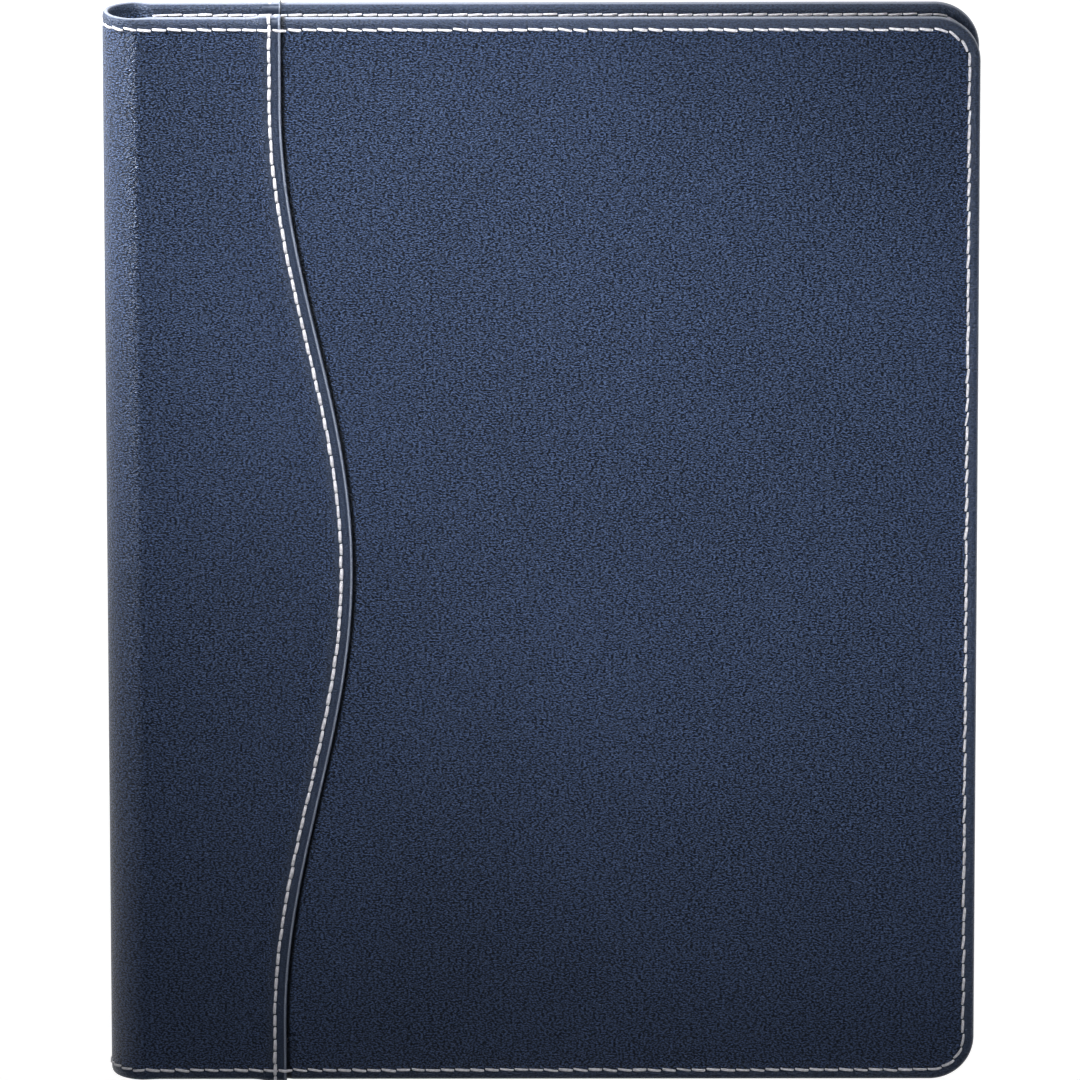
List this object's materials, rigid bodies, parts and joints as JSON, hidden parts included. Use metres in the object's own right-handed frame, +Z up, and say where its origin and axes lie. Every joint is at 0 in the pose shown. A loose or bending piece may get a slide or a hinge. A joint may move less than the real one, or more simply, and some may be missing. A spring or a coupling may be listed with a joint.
{
  "type": "journal",
  "caption": "Refillable journal in navy leatherette with a curved spine seam, white edge stitching, rounded fore-edge corners and a page block inside.",
  "frame": {"origin": "on the surface that the journal lies on, under the middle of its outline", "axes": "+X from the spine to the fore edge, +Y from the tail to the head, +Z up through the thickness to the front cover"},
  "size_m": [0.184, 0.235, 0.0151],
  "materials": {
    "leatherette": "fine pebbled grain, low sheen",
    "thread": "twisted polyester, soft sheen",
    "lining": "matt woven",
    "greyboard": "matt pressed board",
    "card": "matt coated card",
    "paper": "matt uncoated paper",
    "tape": "matt bookbinding cloth"
  },
  "bodies": {
    "back_cover": {"back_panel_leather": "leatherette", "spine_wrap_back": "leatherette", "back_board": "greyboard", "back_lining": "lining", "back_edge_thread": "thread", "back_edge_bobbin_thread": "thread", "back_seam_thread": "thread", "back_sleeve": "lining", "back_sleeve_thread": "thread", "refill_back_card": "card", "refill_tape_back": "tape", "signature_4": "paper", "signature_5": "paper", "signature_6": "paper"},
    "spine": {"spine_leather": "leatherette", "spine_lining": "lining", "spine_thread_head": "thread", "spine_thread_tail": "thread"},
    "front_cover": {"front_panel_leather": "leatherette", "spine_wrap_front": "leatherette", "front_board": "greyboard", "front_lining": "lining", "front_edge_thread": "thread", "front_edge_bobbin_thread": "thread", "front_seam_thread": "thread", "front_pocket": "lining", "front_pocket_thread": "thread"},
    "refill_front": {"refill_front_card": "card", "refill_tape_front": "tape"},
    "signature_1": {"signature_1": "paper"},
    "signature_2": {"signature_2": "paper"},
    "signature_3": {"signature_3": "paper"}
  },
  "joints": [
    {"name": "spine_turn", "type": "hinge", "parent": "back_cover", "child": "spine", "pos_m": [-0.09043, 0, 0.00157], "axis": [0, -1, 0], "range_deg": [0, 89.4]},
    {"name": "front_cover_hinge", "type": "hinge", "parent": "spine", "child": "front_cover", "pos_m": [-0.09043, 0, 0.01303], "axis": [0, -1, 0], "range_deg": [0, 89.4]},
    {"name": "refill_front_turn", "type": "hinge", "parent": "back_cover", "child": "refill_front", "pos_m": [-0.085, 0, 0.00705], "axis": [0, -1, 0], "range_deg": [0, 177]},
    {"name": "signature_1_turn", "type": "hinge", "parent": "back_cover", "child": "signature_1", "pos_m": [-0.085, 0, 0.00705], "axis": [0, -1, 0], "range_deg": [0, 176]},
    {"name": "signature_2_turn", "type": "hinge", "parent": "back_cover", "child": "signature_2", "pos_m": [-0.085, 0, 0.00705], "axis": [0, -1, 0], "range_deg": [0, 174]},
    {"name": "signature_3_turn", "type": "hinge", "parent": "back_cover", "child": "signature_3", "pos_m": [-0.085, 0, 0.00705], "axis": [0, -1, 0], "range_deg": [0, 173]}
  ],
  "couplings": [
    {"joint": "spine_turn", "follows": "front_cover_hinge", "ratio": 1},
    {"joint": "refill_front_turn", "follows": "front_cover_hinge", "ratio": 1.976},
    {"joint": "signature_1_turn", "follows": "front_cover_hinge", "ratio": 1.96},
    {"joint": "signature_2_turn", "follows": "front_cover_hinge", "ratio": 1.943},
    {"joint": "signature_3_turn", "follows": "front_cover_hinge", "ratio": 1.926}
  ]
}
